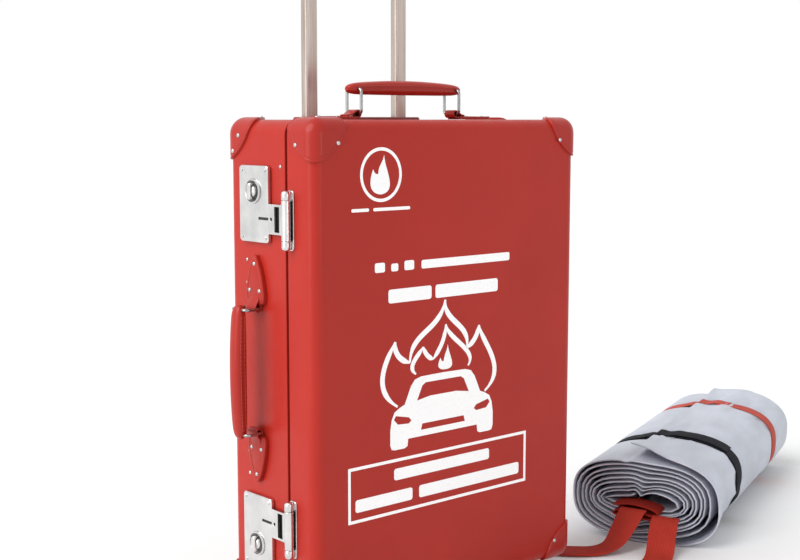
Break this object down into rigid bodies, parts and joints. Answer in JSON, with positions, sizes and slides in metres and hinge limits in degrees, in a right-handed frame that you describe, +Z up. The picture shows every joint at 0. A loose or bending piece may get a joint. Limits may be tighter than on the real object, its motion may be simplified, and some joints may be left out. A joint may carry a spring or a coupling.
{
  "type": "vehicle fire blanket with trolley case",
  "caption": "Large silver fire blanket folded and rolled with two bands and pull straps, beside its red hard trolley case with telescopic handle, lever locks and wheels.",
  "frame": {"origin": "on the floor, in the middle of the footprint of the case and roll together, loose straps left out", "axes": "+Z up; the case front faces -Y; +X runs along the case's width, from its lock side to its hinge side, towards the roll"},
  "size_m": [1.0904, 0.3748, 1.0015],
  "materials": {
    "shell": "red coated fibreboard with a fine leather grain, satin",
    "cap_leather": "red coated leather, semi-gloss",
    "rim": "dark red painted board, matte",
    "lining": "dark woven lining",
    "chrome": "bright plated steel",
    "handle_leather": "red leather, semi-gloss, stitched",
    "tube": "satin anodised",
    "bracket": "dark red moulded plastic",
    "black_plastic": "black moulded plastic",
    "tyre": "black wheel rubber",
    "blanket": "silver grey coated woven fire cloth",
    "black_webbing": "black woven band",
    "red_webbing": "red woven webbing"
  },
  "bodies": {
    "case_base": {"base_shell": "shell", "base_rim": "rim", "base_lining": "lining", "corner_cap_base_left_bottom": "cap_leather", "corner_cap_base_left_top": "cap_leather", "corner_cap_base_right_bottom": "cap_leather", "corner_cap_base_right_top": "cap_leather", "lock_plate_upper": "chrome", "lock_plate_lower": "chrome", "side_handle_tab_lower": "handle_leather", "side_handle_tab_upper": "handle_leather", "top_handle_tab_left": "handle_leather", "top_handle_tab_right": "handle_leather", "hinge_leaf_base_upper": "chrome", "hinge_leaf_base_lower": "chrome", "guide_tube_left": "tube", "guide_tube_right": "tube", "trolley_top_bracket": "bracket", "trolley_bottom_bracket": "bracket", "wheel_housing_left": "black_plastic", "wheel_housing_right": "black_plastic", "wheel_axle_left": "chrome", "wheel_axle_right": "chrome", "foot_left": "black_plastic", "foot_right": "black_plastic"},
    "lid": {"lid_shell": "shell", "lid_rim": "rim", "lid_lining": "lining", "corner_cap_lid_left_bottom": "cap_leather", "corner_cap_lid_left_top": "cap_leather", "corner_cap_lid_right_bottom": "cap_leather", "corner_cap_lid_right_top": "cap_leather", "hinge_leaf_lid_upper": "chrome", "hinge_leaf_lid_lower": "chrome", "hasp_bracket_upper": "chrome", "hasp_bracket_lower": "chrome"},
    "hasp_upper_body": {"hasp_upper": "chrome"},
    "hasp_lower_body": {"hasp_lower": "chrome"},
    "knob_upper_body": {"lock_knob_upper": "chrome"},
    "knob_lower_body": {"lock_knob_lower": "chrome"},
    "side_ring_upper": {"side_handle_ring_upper": "chrome"},
    "side_ring_lower": {"side_handle_ring_lower": "chrome"},
    "side_grip": {"side_handle_grip": "handle_leather"},
    "top_ring_left": {"top_handle_ring_left": "chrome"},
    "top_ring_right": {"top_handle_ring_right": "chrome"},
    "top_grip": {"top_handle_grip": "handle_leather"},
    "trolley_stage1": {"stage1_tube_left": "tube", "stage1_tube_right": "tube"},
    "trolley_stage2": {"stage2_tube_left": "tube", "stage2_tube_right": "tube", "trolley_grip": "black_plastic"},
    "release_button": {"trolley_release_button": "black_plastic"},
    "wheel_left_body": {"wheel_left": "tyre"},
    "wheel_right_body": {"wheel_right": "tyre"},
    "blanket": {"blanket_roll": "blanket", "band_black": "black_webbing", "band_red": "red_webbing", "pull_strap_left": "red_webbing", "pull_strap_right": "red_webbing"}
  },
  "joints": [
    {"name": "lid_hinge", "type": "hinge", "parent": "case_base", "child": "lid", "pos_m": [-0.10396, -0.05752, 0.29], "axis": [0, 0, 1], "range_deg": [0, 90]},
    {"name": "hasp_upper_swing", "type": "hinge", "parent": "lid", "child": "hasp_upper_body", "pos_m": [-0.51526, -0.06602, 0.4555], "axis": [0, 0, 1], "range_deg": [0, 120]},
    {"name": "hasp_lower_swing", "type": "hinge", "parent": "lid", "child": "hasp_lower_body", "pos_m": [-0.51526, -0.06602, 0.1245], "axis": [0, 0, 1], "range_deg": [0, 120]},
    {"name": "lock_knob_upper_turn", "type": "hinge", "parent": "case_base", "child": "knob_upper_body", "pos_m": [-0.51546, -0.00552, 0.484], "axis": [-1, 0, 0], "range_deg": [0, 90]},
    {"name": "lock_knob_lower_turn", "type": "hinge", "parent": "case_base", "child": "knob_lower_body", "pos_m": [-0.51546, -0.00552, 0.096], "axis": [-1, 0, 0], "range_deg": [0, 90]},
    {"name": "side_ring_upper_swing", "type": "hinge", "parent": "case_base", "child": "side_ring_upper", "pos_m": [-0.51496, -0.00552, 0.358], "axis": [0, 1, 0], "range_deg": [-50, 50]},
    {"name": "side_ring_lower_swing", "type": "hinge", "parent": "case_base", "child": "side_ring_lower", "pos_m": [-0.51496, -0.00552, 0.222], "axis": [0, 1, 0], "range_deg": [-50, 50]},
    {"name": "side_grip_pivot", "type": "hinge", "parent": "side_ring_upper", "child": "side_grip", "pos_m": [-0.53446, -0.00552, 0.358], "axis": [0, 1, 0], "range_deg": [-50, 50]},
    {"name": "top_ring_left_swing", "type": "hinge", "parent": "case_base", "child": "top_ring_left", "pos_m": [-0.38346, -0.01752, 0.5665], "axis": [0, 1, 0], "range_deg": [-50, 50]},
    {"name": "top_ring_right_swing", "type": "hinge", "parent": "case_base", "child": "top_ring_right", "pos_m": [-0.23346, -0.01752, 0.5665], "axis": [0, 1, 0], "range_deg": [-50, 50]},
    {"name": "top_grip_pivot", "type": "hinge", "parent": "top_ring_left", "child": "top_grip", "pos_m": [-0.38346, -0.01752, 0.594], "axis": [0, 1, 0], "range_deg": [-50, 50]},
    {"name": "stage1_slide", "type": "slide", "parent": "case_base", "child": "trolley_stage1", "axis": [0, 0, 1], "range_m": [-0.1975, 0]},
    {"name": "stage2_slide", "type": "slide", "parent": "trolley_stage1", "child": "trolley_stage2", "axis": [0, 0, 1], "range_m": [-0.1975, 0]},
    {"name": "release_button_press", "type": "slide", "parent": "trolley_stage2", "child": "release_button", "axis": [0, 0, 1], "range_m": [-0.003, 0], "stiffness_N_per_m": 300},
    {"name": "wheel_left_roll", "type": "hinge", "parent": "case_base", "child": "wheel_left_body", "pos_m": [-0.43346, 0.07948, 0.025], "axis": [1, 0, 0], "continuous": true},
    {"name": "wheel_right_roll", "type": "hinge", "parent": "case_base", "child": "wheel_right_body", "pos_m": [-0.18346, 0.07948, 0.025], "axis": [1, 0, 0], "continuous": true},
    {"name": "blanket_pull_away", "type": "slide", "parent": "case_base", "child": "blanket", "axis": [1, 0, 0], "range_m": [0, 0.4]}
  ],
  "couplings": [
    {"joint": "side_ring_lower_swing", "follows": "side_ring_upper_swing", "ratio": 1},
    {"joint": "side_grip_pivot", "follows": "side_ring_upper_swing", "ratio": -1},
    {"joint": "top_ring_right_swing", "follows": "top_ring_left_swing", "ratio": 1},
    {"joint": "top_grip_pivot", "follows": "top_ring_left_swing", "ratio": -1}
  ]
}
